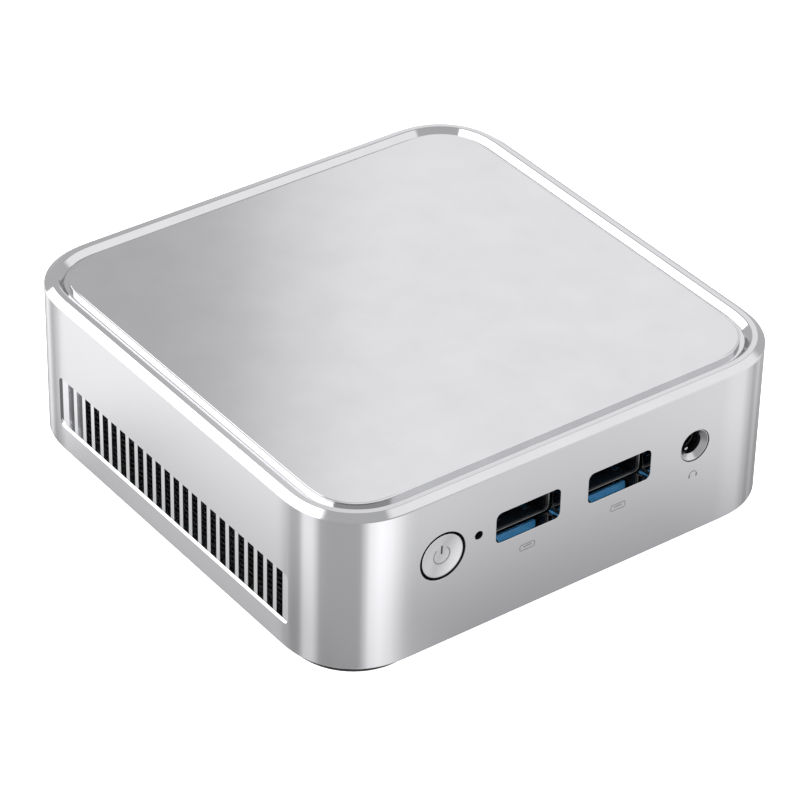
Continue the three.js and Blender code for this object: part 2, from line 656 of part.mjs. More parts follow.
const frontPanel = new THREE.Group();
frontPanel.position.y = FRONT_FACE;
FRONT_USB.xs.forEach((x, i) => {
  piece(frontPanel, `usb_shell_front_${i + 1}`, usbShell(FRONT_USB), POLISHED_STEEL, x, 0, USB.z);
  piece(frontPanel, `usb_insulator_front_${i + 1}`, usbInsulator(FRONT_USB), BLUE_PLASTIC, x, 0, USB.z);
});
piece(frontPanel, "power_button", powerButtonCap(), SATIN_ALUMINIUM, BUTTON.x, 0, BUTTON.z);
piece(frontPanel, "switch_plunger", switchPlunger(), BLACK_PLASTIC, BUTTON.x, 0, BUTTON.z);
piece(frontPanel, "switch_body", switchBody(), BLACK_PLASTIC, BUTTON.x, 0, BUTTON.z);
piece(frontPanel, "light_pipe", lightPipe(), CLEAR_PLASTIC, LIGHT.x, 0, LIGHT.z);
piece(frontPanel, "audio_jack_sleeve", audioSleeve(), POLISHED_STEEL, AUDIO.x, 0, AUDIO.z);
piece(frontPanel, "audio_jack_body", audioBody(), BLACK_PLASTIC, AUDIO.x, 0, AUDIO.z);
miniPc.add(frontPanel);

// The rear panel's group is turned half a turn, so its x runs the other way.
const rearPanel = new THREE.Group();
rearPanel.position.y = REAR_FACE;
rearPanel.rotation.z = Math.PI;
REAR_USB.xs.forEach((x, i) => {
  piece(rearPanel, `usb_shell_rear_${i + 1}`, usbShell(REAR_USB), POLISHED_STEEL, -x, 0, USB.z);
  piece(rearPanel, `usb_insulator_rear_${i + 1}`, usbInsulator(REAR_USB), BLUE_PLASTIC, -x, 0, USB.z);
});
piece(rearPanel, "power_jack_body", powerJackBody(), BLACK_PLASTIC, -POWER.x, 0, POWER.z);
piece(rearPanel, "power_jack_pin", powerJackPin(), POLISHED_STEEL, -POWER.x, 0, POWER.z);
piece(rearPanel, "video_socket_shell", videoShell(), POLISHED_STEEL, -VIDEO.x, 0, VIDEO.z);
piece(rearPanel, "video_socket_insulator", videoInsulator(), BLACK_PLASTIC, -VIDEO.x, 0, VIDEO.z);
piece(rearPanel, "network_jack_cage", networkCage(), POLISHED_STEEL, -NETWORK.x);
piece(rearPanel, "network_jack_insert", networkInsert(), BLACK_PLASTIC, -NETWORK.x);
miniPc.add(rearPanel);

export default miniPc;
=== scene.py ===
"""The looks of a palm-sized desktop computer in a satin aluminium case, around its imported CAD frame."""

import math

import bmesh
import bpy
from mathutils import Matrix, Vector


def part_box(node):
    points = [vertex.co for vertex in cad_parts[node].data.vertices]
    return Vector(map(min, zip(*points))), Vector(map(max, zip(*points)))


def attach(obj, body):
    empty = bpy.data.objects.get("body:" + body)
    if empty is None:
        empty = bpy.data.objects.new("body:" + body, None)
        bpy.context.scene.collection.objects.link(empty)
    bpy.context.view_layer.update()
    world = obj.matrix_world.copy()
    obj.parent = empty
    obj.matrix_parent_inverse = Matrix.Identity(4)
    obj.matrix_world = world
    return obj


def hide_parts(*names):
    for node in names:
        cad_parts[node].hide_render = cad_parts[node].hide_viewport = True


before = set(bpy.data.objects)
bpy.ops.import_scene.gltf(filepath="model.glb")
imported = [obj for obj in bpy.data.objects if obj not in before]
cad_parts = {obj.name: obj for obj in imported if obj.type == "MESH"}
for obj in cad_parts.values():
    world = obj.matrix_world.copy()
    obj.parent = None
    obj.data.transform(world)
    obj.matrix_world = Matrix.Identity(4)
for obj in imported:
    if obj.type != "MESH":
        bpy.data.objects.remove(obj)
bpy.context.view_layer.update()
scene = bpy.context.scene
MM = 0.001


# ---- places, from the frame, in millimetres ----


def extent(node):
    low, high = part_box(node)
    return low / MM, high / MM


def middle(node):
    low, high = extent(node)
    return (low + high) / 2


SHELL_LOW, SHELL_HIGH = extent("housing_shell")
HALF = SHELL_HIGH.x
FRONT, REAR = -HALF, HALF
COVER_LOW, COVER_HIGH = extent("top_cover")
BASE_LOW, BASE_HIGH = extent("bottom_cover")

# ---- driving sizes, in millimetres ----

# Case: the plan outline bends in gradually, over OUTLINE_BLEND of each corner
CORNER_R = 15.4
OUTLINE_R, OUTLINE_BLEND = 15.0, 0.22
WALL = 2.5
SHELL_FOOT_EASE = 0.2
CHAMFER_IN, CHAMFER_DOWN = 1.45, 1.05
RIM_FLAT, RIM_LIP, RIM_DROP = 2.6, 3.9, 1.2
RIM_UNDERSIDE = 33.2
EASE = 0.12
BOSS = HALF - CORNER_R

# Side vents: a shallow recess with full-height slots, the last ones blind pockets in a block
VENT_Y, VENT_HALF, VENT_LOW, VENT_HIGH, VENT_CORNER = -0.4, 37.8, 6.85, 17.95, 1.1
VENT_DEPTH, VENT_WEB, VENT_BLOCK, VENT_BLOCK_DEPTH = 0.4, 1.1, (29.5, 35.9), 3.6
SLOT_COUNT, SLOT_PITCH, SLOT_WIDTH, SLOT_BLIND, POCKET_DEPTH = 24, 3.0, 1.9, 2, 1.2
SLOT_Y, SLOT_LOW = -0.65, 7.23
REAR_SLOTS, REAR_SLOT_HALF, REAR_SLOT_Z, REAR_SLOT_CORNER = 16, 3.5, 10.6, 0.6

# Holes: half width, half height and corner radius, or a radius
USB_HOLE, VIDEO_HOLE, NETWORK_HOLE = (7.25, 3.3, 1.25), (7.8, 3.1, 0.8), (8.2, 6.5, 0.5)
BUTTON_HOLE, LIGHT_HOLE, AUDIO_HOLE, POWER_HOLE = 5.0, 0.88, 3.42, 4.0

# Cover: insets from the case's outline, and the heights of the groove's floor and of the flange
PLATE_INSET, STEP_INSET, FLANGE_INSET, POCKET_INSET = 4.74, 3.86, 2.8, 6.5
GROOVE_FLOOR, FLANGE_TOP, POCKET_RISE = 33.76, 32.9, 1.3

# Feet and screws
FOOT_BORE, FOOT_INSET, FOOT_EASE, FOOT_GROOVE, FOOT_GROOVE_DEPTH = 5.2, 0.2, 0.15, (7.6, 9), 0.25
SCREW_HEAD, SCREW_SHANK, SCREW_HEAD_HEIGHT, CROSS_HALF, CROSS_DEPTH = 2.8, 1.02, 1.5, (1.5, 0.3), 0.7
BASE_EDGE, SCREW_HOLE, SINK_HOLE, BRACKET_HOLE, BRACKET_X = 2.8, 1.4, 3.3, 1.3, 37.5
GRILLE_RINGS = ((12, 12.5, 4), (24, 23.5, 5))

# Front pieces
BUTTON_DISH, BUTTON_EDGE, BUTTON_SIDE, BUTTON_FLANGE, BUTTON_STEM = 0.3, 4.4, 4.47, 5.9, 1.5
MARK_RING, MARK_GAP, MARK_BAR, MARK_PROUD = (1.62, 1.9), 38, 0.18, (-0.012, 0.1)
LIGHT_BELOW_TOP, LIGHT_R = 0.8, 0.65
SLEEVE_R, SLEEVE_BORE, SLEEVE_BACK, SLEEVE_SHIFT = 3.33, 2.2, 2.9, 0.12
JACK_BORE = 2.1
PRINT_DEPTH = (-0.012, 0.05)


# ---- outlines and meshes ----


def rounded(half_u, half_v, radius, steps, cu=0.0, cv=0.0):
    """A rounded rectangle's points, counter-clockwise."""
    points = []
    for su, sv, start in ((1, 1, 0), (-1, 1, 90), (-1, -1, 180), (1, -1, 270)):
        for i in range(steps + 1):
            a = math.radians(start + 90 * i / steps)
            points.append(
                (
                    cu + su * (half_u - radius) + radius * math.cos(a),
                    cv + sv * (half_v - radius) + radius * math.sin(a),
                )
            )
    return points


def circle(radius, count=48, cu=0.0, cv=0.0):
    return [
        (
            cu + radius * math.cos(2 * math.pi * i / count),
            cv + radius * math.sin(2 * math.pi * i / count),
        )
        for i in range(count)
    ]


def corner_path(steps, fine=20):
    """One corner's points from its square corner, and their outward directions."""
    count = steps * fine
    bends = [min(1.0, min(i + 0.5, count - i - 0.5) / count / OUTLINE_BLEND) for i in range(count)]
    x = y = angle = 0.0
    path = [(x, y, angle)]
    for bend in bends:
        turn = math.pi / 2 * bend / sum(bends)
        angle += turn / 2
        x, y = x - math.sin(angle), y + math.cos(angle)
        angle += turn / 2
        path.append((x, y, angle))
    size = OUTLINE_R * (1 - math.cos(math.pi / 4)) / -path[count // 2][0]
    return [(px * size, (py - path[-1][1]) * size, a) for px, py, a in path[::fine]]


def body_outline(inset, steps=24):
    """The case's outline, moved in by the inset, counter-clockwise."""
    corner = [
        (HALF + x - inset * math.cos(a), HALF + y - inset * math.sin(a))
        for x, y, a in corner_path(steps)
    ]
    points = []
    for _ in range(4):
        points += corner
        corner = [(-y, x) for x, y in corner]
    return points


def at_x(points, x):
    return [Vector((x, u, v)) for u, v in points]


def at_y(points, y):
    return [Vector((u, y, v)) for u, v in points]


def at_z(points, z):
    return [Vector((u, v, z)) for u, v in points]


def eased(profile, size=EASE, fine=()):
    """An open profile whose inner corners become short facets, shorter ones at the fine corners."""
    points = [Vector(p) for p in profile]
    result = [points[0]]
    for i in range(1, len(points) - 1):
        reach = size * 0.4 if i in fine else size
        for near in (points[i - 1], points[i + 1]):
            step = near - points[i]
            result.append(points[i] + step.normalized() * min(reach, step.length * 0.4))
    return [tuple(p) for p in result + [points[-1]]]


def loft(bm, rings, closed=False, bands=None):
    """Skins rings of equal length. bands gives the material of each strip between two rings."""
    loops = [[bm.verts.new(p) for p in ring] for ring in rings]
    pairs = list(zip(loops, loops[1:]))
    if closed:
        pairs.append((loops[-1], loops[0]))
    for k, (a, b) in enumerate(pairs):
        for i in range(len(a)):
            j = (i + 1) % len(a)
            face = bm.faces.new((a[i], a[j], b[j], b[i]))
            face.material_index = bands[k] if bands else 0
    if not closed:
        bm.faces.new(list(reversed(loops[0]))).material_index = bands[0] if bands else 0
        bm.faces.new(loops[-1]).material_index = bands[-1] if bands else 0


def lathe(bm, profile, centre, axis="z", count=48, bands=None):
    """Turns (radius, distance along the axis) pairs. A radius of 0 at an end closes it in one point."""
    rings = []
    for r, h in profile:
        if r == 0:
            rings.append([bm.verts.new(spun(0, 0, h, centre, axis))])
        else:
            rings.append([bm.verts.new(spun(u, v, h, centre, axis)) for u, v in circle(r, count)])
    for k, (a, b) in enumerate(zip(rings, rings[1:])):
        for i in range(count):
            j = (i + 1) % count
            if len(a) == 1:
                face = bm.faces.new((a[0], b[j], b[i]))
            elif len(b) == 1:
                face = bm.faces.new((a[i], a[j], b[0]))
            else:
                face = bm.faces.new((a[i], a[j], b[j], b[i]))
            face.material_index = bands[k] if bands else 0
    if len(rings[0]) > 1 and len(rings[-1]) > 1:
        for i in range(count):
            j = (i + 1) % count
            face = bm.faces.new((rings[-1][i], rings[-1][j], rings[0][j], rings[0][i]))
            face.material_index = bands[-1] if bands else 0


def spun(u, v, h, centre, axis):
    local = {"x": (h, u, v), "y": (u, h, v), "z": (u, v, h)}[axis]
    return Vector(local) + Vector(centre)


def block(bm, low, high, ease=0.0, material=0):
    """A box, with all its edges eased when ease is given."""
    made = bmesh.ops.create_cube(bm, size=1)
    size, centre = Vector(high) - Vector(low), (Vector(high) + Vector(low)) / 2
    for v in made["verts"]:
        v.co = Vector([v.co[k] * size[k] + centre[k] for k in range(3)])
    faces = {f for v in made["verts"] for f in v.link_faces}
    if ease:
        edges = {e for v in made["verts"] for e in v.link_edges}
        done = bmesh.ops.bevel(
            bm, geom=list(edges), offset=ease, segments=2, affect="EDGES", profile=0.5
        )
        faces |= set(done["faces"])
    for f in faces:
        if f.is_valid:
            f.material_index = material


def flared_prism(bm, ring_at, outline, mouth, inside, outwards, flare=EASE, finish=1):
    """A cutting tool with a small chamfer at the mouth. outline(grow) gives its points."""
    steps = [
        (mouth + outwards, flare),
        (mouth + outwards * 0.02, flare),
        (mouth - outwards * flare, 0.0),
        (inside, 0.0),
    ]
    loft(bm, [ring_at(outline(grow), where) for where, grow in steps], bands=[0, 0, finish])


def object_of(name, bm, materials):
    bmesh.ops.recalc_face_normals(bm, faces=bm.faces)
    mesh = bpy.data.meshes.new(name)
    bm.to_mesh(mesh)
    bm.free()
    mesh.transform(Matrix.Scale(MM, 4))
    for material in materials:
        mesh.materials.append(material)
    obj = bpy.data.objects.new(name, mesh)
    scene.collection.objects.link(obj)
    return obj


def carve(obj, tools, operation="DIFFERENCE"):
    """Applies exact booleans with each tool, in order. A tool is a filled bmesh."""
    for bm in tools:
        tool = object_of("tool", bm, list(obj.data.materials))
        cut = obj.modifiers.new("cut", "BOOLEAN")
        cut.operation, cut.solver, cut.object = operation, "EXACT", tool
        cut.material_mode = "INDEX"
        bpy.context.view_layer.update()
        carved = bpy.data.meshes.new_from_object(
            obj.evaluated_get(bpy.context.evaluated_depsgraph_get())
        )
        obj.modifiers.clear()
        obj.data = carved
        bpy.data.objects.remove(tool)


def shade(obj, sharp=32):
    """Smooth shading with sharp edges past an angle, the big faces kept flat."""
    bm = bmesh.new()
    bm.from_mesh(obj.data)
    bmesh.ops.remove_doubles(bm, verts=bm.verts, dist=1e-7)
    limit = math.radians(sharp)
    for f in bm.faces:
        f.smooth = True
    for e in bm.edges:
        e.smooth = len(e.link_faces) == 2 and e.calc_face_angle(0) < limit
    bm.to_mesh(obj.data)
    bm.free()
    weighted = obj.modifiers.new("weighted", "WEIGHTED_NORMAL")
    weighted.keep_sharp = True
    weighted.weight = 90


def keep(obj, replaces=(), body="case", sharp=32):
    shade(obj, sharp)
    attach(obj, body)
    if replaces:
        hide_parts(*replaces)
    return obj


def piece(name, bm, material, replaces=(), body="case", sharp=32):
    materials = material if isinstance(material, (list, tuple)) else [material]
    return keep(object_of(name, bm, materials), replaces, body, sharp)


# ---- materials ----


def new_material(name):
    material = bpy.data.materials.new(name)
    material.use_nodes = True
    nodes, links = material.node_tree.nodes, material.node_tree.links
    return material, nodes, links, nodes["Principled BSDF"]


def noise(nodes, links, scale, detail=3.0):
    coordinates = nodes.new("ShaderNodeTexCoord")
    texture = nodes.new("ShaderNodeTexNoise")
    texture.inputs["Scale"].default_value = scale
    texture.inputs["Detail"].default_value = detail
    links.new(coordinates.outputs["Object"], texture.inputs["Vector"])
    return texture.outputs["Fac"]


def spread(nodes, links, value, low, high):
    remap = nodes.new("ShaderNodeMapRange")
    remap.inputs["From Min"].default_value = 0.3
    remap.inputs["From Max"].default_value = 0.7
    remap.inputs["To Min"].default_value = low
    remap.inputs["To Max"].default_value = high
    links.new(value, remap.inputs["Value"])
    return remap.outputs["Result"]


def blend_colours(nodes, links, value, first, second):
    mix = nodes.new("ShaderNodeMix")
    mix.data_type = "RGBA"
    mix.inputs[6].default_value = (*first, 1)
    mix.inputs[7].default_value = (*second, 1)
    links.new(value, mix.inputs[0])
    return mix.outputs[2]


def bump(nodes, links, height, strength, distance):
    node = nodes.new("ShaderNodeBump")
    node.inputs["Strength"].default_value = strength
    node.inputs["Distance"].default_value = distance
    links.new(height, node.inputs["Height"])
    return node.outputs["Normal"]


def grained(name, dark, light, rough, metallic=0.0, grain=1500, patch=60, strength=0.15, depth=2e-5):
    """A surface with a fine grain in its relief and gloss, and slow changes of colour."""
    material, nodes, links, shader = new_material(name)
    shader.inputs["Metallic"].default_value = metallic
    fine = noise(nodes, links, grain, 2)
    slow = noise(nodes, links, patch, 4)
    tone = spread(nodes, links, slow, 0, 1)
    links.new(blend_colours(nodes, links, tone, dark, light), shader.inputs["Base Color"])
    links.new(spread(nodes, links, fine, *rough), shader.inputs["Roughness"])
    links.new(bump(nodes, links, fine, strength, depth), shader.inputs["Normal"])
    return material


SATIN = grained(
    "satin_aluminium", (0.613, 0.615, 0.626), (0.622, 0.624, 0.634), (0.135, 0.16), 1.0,
    grain=3200, patch=25, strength=0.02, depth=1e-5,
)
POLISHED = grained(
    "polished_aluminium", (0.62, 0.622, 0.632), (0.65, 0.652, 0.662), (0.05, 0.09), 1.0,
    grain=2500, patch=120, strength=0.02, depth=1e-5,
)
SLEEVE = grained(
    "nickel_sleeve", (0.5, 0.5, 0.51), (0.58, 0.58, 0.59), (0.16, 0.26), 1.0,
    grain=2200, patch=300, strength=0.05, depth=1e-5,
)
STEEL = grained(
    "plated_steel", (0.42, 0.43, 0.45), (0.52, 0.53, 0.55), (0.12, 0.24), 1.0,
    grain=1800, patch=220, strength=0.06, depth=1e-5,
)
# Plated steel made near black for the inside of the USB shells: painted shade.
PAINTED_SHADE_STEEL = grained(
    "steel_painted_shade", (0.01, 0.01, 0.011), (0.016, 0.016, 0.018), (0.4, 0.5), 0.4,
    grain=1800, patch=220, strength=0.06, depth=1e-5,
)
# A darker copy of the plated steel for the lip round the socket's mouth: painted shade.
SHADED_LIP_STEEL = grained(
    "socket_lip_steel_painted_shade", (0.15, 0.155, 0.165), (0.2, 0.205, 0.215), (0.22, 0.32), 1.0,
    grain=1800, patch=220, strength=0.06, depth=1e-5,
)
SCREW = grained(
    "blackened_steel", (0.05, 0.05, 0.055), (0.1, 0.1, 0.11), (0.28, 0.42), 1.0,
    grain=1600, patch=300, strength=0.1, depth=1e-5,
)
BLACK = grained(
    "moulded_black", (0.006, 0.006, 0.007), (0.012, 0.012, 0.013), (0.42, 0.56),
    grain=2600, patch=90, strength=0.25, depth=2e-5,
)
GLOSS_BLACK = grained(
    "socket_black", (0.003, 0.003, 0.004), (0.006, 0.006, 0.007), (0.3, 0.42),
    grain=2600, patch=200, strength=0.1, depth=1e-5,
)
RUBBER = grained(
    "rubber_black", (0.008, 0.008, 0.008), (0.016, 0.016, 0.016), (0.72, 0.9),
    grain=1400, patch=120, strength=0.4, depth=3e-5,
)
BLUE = grained(
    "moulded_blue", (0.03, 0.2, 0.43), (0.045, 0.24, 0.48), (0.32, 0.44),
    grain=2200, patch=260, strength=0.08, depth=1e-5,
)
SMOKED = grained(
    "smoked_light_pipe", (0.004, 0.004, 0.005), (0.009, 0.009, 0.01), (0.08, 0.16),
    grain=1500, patch=400, strength=0.05, depth=1e-5,
)
GOLD = grained(
    "gold_contact", (0.78, 0.52, 0.2), (0.86, 0.62, 0.28), (0.16, 0.28), 1.0,
    grain=2600, patch=500, strength=0.05, depth=1e-5,
)
CHIP = grained(
    "chip_resin", (0.012, 0.012, 0.013), (0.022, 0.022, 0.024), (0.5, 0.66),
    grain=3000, patch=180, strength=0.2, depth=1e-5,
)
FINS = grained(
    "fin_aluminium", (0.42, 0.43, 0.44), (0.52, 0.53, 0.54), (0.3, 0.42), 1.0,
    grain=900, patch=70, strength=0.1, depth=2e-5,
)
CELL = grained(
    "cell_steel", (0.6, 0.6, 0.6), (0.68, 0.68, 0.67), (0.2, 0.3), 1.0,
    grain=1800, patch=150, strength=0.06, depth=1e-5,
)
PRINT = grained(
    "grey_print", (0.13, 0.13, 0.135), (0.17, 0.17, 0.175), (0.5, 0.62),
    grain=2600, patch=500, strength=0.05, depth=1e-5,
)
MESH_BLACK = grained(
    "mesh_black", (0.012, 0.012, 0.013), (0.022, 0.022, 0.023), (0.4, 0.55),
    grain=2200, patch=200, strength=0.15, depth=1e-5,
)


def circuit_board():
    """Solder mask with fine copper runs under it and a scatter of pads."""
    material, nodes, links, shader = new_material("circuit_board")
    coordinates = nodes.new("ShaderNodeTexCoord")
    runs = nodes.new("ShaderNodeTexBrick")
    runs.inputs["Scale"].default_value = 260
    runs.inputs["Mortar Size"].default_value = 0.035
    runs.inputs["Color1"].default_value = (0.006, 0.05, 0.022, 1)
    runs.inputs["Color2"].default_value = (0.008, 0.06, 0.028, 1)
    runs.inputs["Mortar"].default_value = (0.02, 0.12, 0.05, 1)
    links.new(coordinates.outputs["Object"], runs.inputs["Vector"])
    pads = nodes.new("ShaderNodeTexVoronoi")
    pads.inputs["Scale"].default_value = 420
    links.new(coordinates.outputs["Object"], pads.inputs["Vector"])
    edge = nodes.new("ShaderNodeMath")
    edge.operation = "LESS_THAN"
    edge.inputs[1].default_value = 0.12
    links.new(pads.outputs["Distance"], edge.inputs[0])
    mix = nodes.new("ShaderNodeMix")
    mix.data_type = "RGBA"
    mix.inputs[7].default_value = (0.55, 0.52, 0.42, 1)
    links.new(edge.outputs[0], mix.inputs[0])
    links.new(runs.outputs["Color"], mix.inputs[6])
    links.new(mix.outputs[2], shader.inputs["Base Color"])
    fine = noise(nodes, links, 900, 2)
    links.new(spread(nodes, links, fine, 0.28, 0.4), shader.inputs["Roughness"])
    links.new(bump(nodes, links, runs.outputs["Fac"], 0.2, 2e-5), shader.inputs["Normal"])
    return material


BOARD = circuit_board()

# ---- case ----


def housing():
    v_wall, v_top = SHELL_HIGH.z - CHAMFER_DOWN, SHELL_HIGH.z
    outer = eased(
        [
            (SHELL_FOOT_EASE, SHELL_LOW.z), (0.0, SHELL_LOW.z + SHELL_FOOT_EASE),
            (0.0, v_wall), (CHAMFER_IN, v_top),
            (RIM_FLAT, v_top), (RIM_LIP, v_top - RIM_DROP), (RIM_LIP, RIM_UNDERSIDE),
        ],
        fine=(1, 3),
    )
    profile = outer + [(WALL, RIM_UNDERSIDE), (WALL, SHELL_LOW.z)]
    bm = bmesh.new()
    bands = [0] * len(profile)
    for k in (4, 5, 7, 8, 9):
        bands[k] = 1
    loft(bm, [at_z(body_outline(inset), z) for inset, z in profile], closed=True, bands=bands)
    # Slot 2, moulded black, goes on the side walls of the round holes cut below: painted shade inside the
    # holes, not the case's own colour.
    shell = object_of("housing_shell_visual", bm, [SATIN, POLISHED, BLACK])

    bm = bmesh.new()
    for side in (-1, 1):
        xs = sorted((side * (HALF - VENT_BLOCK_DEPTH), side * (HALF - WALL / 2)))
        block(bm, (xs[0], VENT_BLOCK[0], VENT_LOW - 1), (xs[1], VENT_BLOCK[1], VENT_HIGH))
    carve(shell, [bm], "UNION")

    ports, recesses, relief, slots = (bmesh.new() for _ in range(4))
    for i in (1, 2):
        for end, wall, out in (("front", FRONT, -1), ("rear", REAR, 1)):
            at = middle(f"usb_shell_{end}_{i}")
            hu, hv, r = USB_HOLE
            flared_prism(
                ports, at_y, lambda g: rounded(hu + g, hv + g, r + g, 8, at.x, at.z),
                wall, wall - out * (WALL + 1), out, 0.05, 1,
            )
    # These four holes take slot 2 on their side walls: black as painted shade inside the holes.
    for node, radius, wall, out, flare in (
        ("power_button", BUTTON_HOLE, FRONT, -1, 0.05),
        ("light_pipe", LIGHT_HOLE, FRONT, -1, 0.04),
        ("audio_jack_sleeve", AUDIO_HOLE, FRONT, -1, 0.02),
        ("power_jack_pin", POWER_HOLE, REAR, 1, EASE),
    ):
        at = middle(node)
        z = extent(node)[1].z - LIGHT_BELOW_TOP if node == "light_pipe" else at.z
        flared_prism(
            ports, at_y, lambda g: circle(radius + g, 64, at.x, z), wall, wall - out * (WALL + 1), out,
            flare, 2,
        )
    for node, hole in (("video_socket_shell", VIDEO_HOLE), ("network_jack_cage", NETWORK_HOLE)):
        at = middle(node)
        hu, hv, r = hole
        flared_prism(
            ports, at_y, lambda g: rounded(hu + g, hv + g, r + g, 6, at.x, at.z),
            REAR, REAR - WALL - 1, 1,
        )
    for side in (-1, 1):
        recess = []
        for depth, low in ((-1, VENT_LOW), (0, VENT_LOW), (VENT_DEPTH, SLOT_LOW)):
            mid, half = (VENT_HIGH + low) / 2, (VENT_HIGH - low) / 2
            outline = rounded(VENT_HALF, half, VENT_CORNER, 6, VENT_Y, mid)
            recess.append(at_x(outline, side * (HALF - depth)))
        loft(recesses, recess, bands=[1, 1])
        xs = sorted((side * (HALF - VENT_DEPTH - VENT_WEB), side * (HALF - WALL - 0.01)))
        low = (xs[0], VENT_Y - VENT_HALF + 0.8, VENT_LOW - 0.5)
        block(relief, low, (xs[1], VENT_BLOCK[0] - 0.1, VENT_HIGH + 0.5))
        for k in range(SLOT_COUNT):
            y = SLOT_Y + (k - (SLOT_COUNT - 1) / 2) * SLOT_PITCH
            deep = POCKET_DEPTH if k >= SLOT_COUNT - SLOT_BLIND else WALL
            xs = sorted((side * (HALF - VENT_DEPTH + 0.1), side * (HALF - deep - 0.005)))
            low = (xs[0], y - SLOT_WIDTH / 2, SLOT_LOW + 0.01)
            block(slots, low, (xs[1], y + SLOT_WIDTH / 2, VENT_HIGH - 0.01))
    for k in range(REAR_SLOTS):
        x = (k - (REAR_SLOTS - 1) / 2) * SLOT_PITCH
        outline = rounded(SLOT_WIDTH / 2, REAR_SLOT_HALF, REAR_SLOT_CORNER, 4, x, REAR_SLOT_Z)
        loft(slots, [at_y(outline, REAR - WALL - 1), at_y(outline, REAR + 1)])
    carve(shell, [ports, recesses, relief, slots])
    keep(shell, ["housing_shell"], sharp=14)


def corner_posts():
    bm = bmesh.new()
    profile = [
        (0, 9.2), (1.4, 9.2), (1.4, 3.9), (4, 3.9), (4, 17.1), (1.2, 17.1), (1.2, 12.2), (0, 12.2),
    ]
    for sx in (-1, 1):
        for sy in (-1, 1):
            lathe(bm, profile, (sx * BOSS, sy * BOSS, 0), count=24)
    piece("corner_posts", bm, SATIN)


def top_cover():
    top, bottom = COVER_HIGH.z, COVER_LOW.z
    rings = [
        (5.12, top), (5.04, top - 0.04), (4.8, top - 0.055), (PLATE_INSET, top - 0.1),
        (PLATE_INSET, GROOVE_FLOOR), (STEP_INSET, GROOVE_FLOOR), (STEP_INSET, FLANGE_TOP),
        (FLANGE_INSET + 0.1, FLANGE_TOP), (FLANGE_INSET, FLANGE_TOP - 0.1),
        (FLANGE_INSET, bottom + 0.1), (FLANGE_INSET + 0.1, bottom), (POCKET_INSET, bottom),
        (POCKET_INSET, bottom + POCKET_RISE),
    ]
    polished = 5
    bm = bmesh.new()
    loft(
        bm, [at_z(body_outline(inset), z) for inset, z in rings],
        bands=[1] * polished + [0] * (len(rings) - 1 - polished),
    )
    piece("top_cover_visual", bm, [SATIN, POLISHED], ["top_cover"], sharp=14)


def bottom_cover():
    low, high = BASE_LOW.z, BASE_HIGH.z
    edge, inner = BASE_EDGE, BASE_EDGE + 0.15
    rings = [(inner, low), (edge, low + 0.15), (edge, high - 0.15), (inner, high)]
    bm = bmesh.new()
    loft(bm, [at_z(body_outline(inset, 12), z) for inset, z in rings])
    plate = object_of("bottom_cover_visual", bm, [BLACK])
    holes, sinks = bmesh.new(), bmesh.new()

    def radial(grow, angle, r, half):
        turn = Matrix.Rotation(angle, 2)
        return [tuple(turn @ Vector(p)) for p in rounded(half + grow, 1 + grow, 0.99 + grow, 5, r)]

    for count, r, half in GRILLE_RINGS:
        for i in range(count):
            angle = 2 * math.pi * i / count
            flared_prism(
                holes, at_z, lambda g: radial(g, angle, r, half), low, high + 1, -1, 0.15
            )
    for sx in (-1, 1):
        flared_prism(
            holes, at_z, lambda g: circle(BRACKET_HOLE + g, 24, sx * BRACKET_X), low, high + 1, -1, 0.2
        )
        for sy in (-1, 1):
            x, y = sx * BOSS, sy * BOSS
            hole, sink = circle(SCREW_HOLE, 16, x, y), circle(SINK_HOLE, 32, x, y)
            loft(holes, [at_z(hole, low - 1), at_z(hole, high + 1)])
            loft(sinks, [at_z(sink, low - 1), at_z(sink, low + 1)])
    carve(plate, [holes, sinks])
    keep(plate, ["bottom_cover"])


def feet_and_screws():
    for corner in ("front_left", "front_right", "rear_left", "rear_right"):
        low, high = extent(f"foot_{corner}")
        at, radius = (low + high) / 2, (high.x - low.x) / 2 - FOOT_INSET
        bm = bmesh.new()
        groove_in, groove_out = FOOT_GROOVE
        groove = low.z + FOOT_GROOVE_DEPTH
        profile = eased(
            [
                (FOOT_BORE, high.z), (FOOT_BORE, low.z + 0.3), (FOOT_BORE + 0.3, low.z),
                (groove_in, low.z), (groove_in + 0.2, groove), (groove_out - 0.2, groove),
                (groove_out, low.z), (radius - FOOT_EASE, low.z), (radius, low.z + FOOT_EASE),
                (radius, high.z),
            ],
            0.1,
        )
        lathe(bm, profile, (at.x, at.y, 0), count=72)
        piece(f"foot_{corner}_visual", bm, RUBBER, [f"foot_{corner}"])

        low, high = extent(f"cover_screw_{corner}")
        at = (low + high) / 2
        bm = bmesh.new()
        lathe(
            bm,
            [
                (0, low.z), (SCREW_HEAD - 0.5, low.z), (SCREW_HEAD - 0.15, low.z + 0.1),
                (SCREW_HEAD, low.z + 0.4), (SCREW_HEAD, low.z + SCREW_HEAD_HEIGHT),
                (SCREW_SHANK, low.z + SCREW_HEAD_HEIGHT), (SCREW_SHANK, high.z - 0.3), (0.7, high.z),
                (0, high.z),
            ],
            (at.x, at.y, 0), count=32,
        )
        screw = object_of(f"cover_screw_{corner}_visual", bm, [SCREW])
        bars = []
        for du, dv in (CROSS_HALF, CROSS_HALF[::-1]):
            bars.append(bmesh.new())
            corner_low = (at.x - du, at.y - dv, low.z - 1)
            block(bars[-1], corner_low, (at.x + du, at.y + dv, low.z + CROSS_DEPTH))
        carve(screw, bars)
        keep(screw, [f"cover_screw_{corner}"])


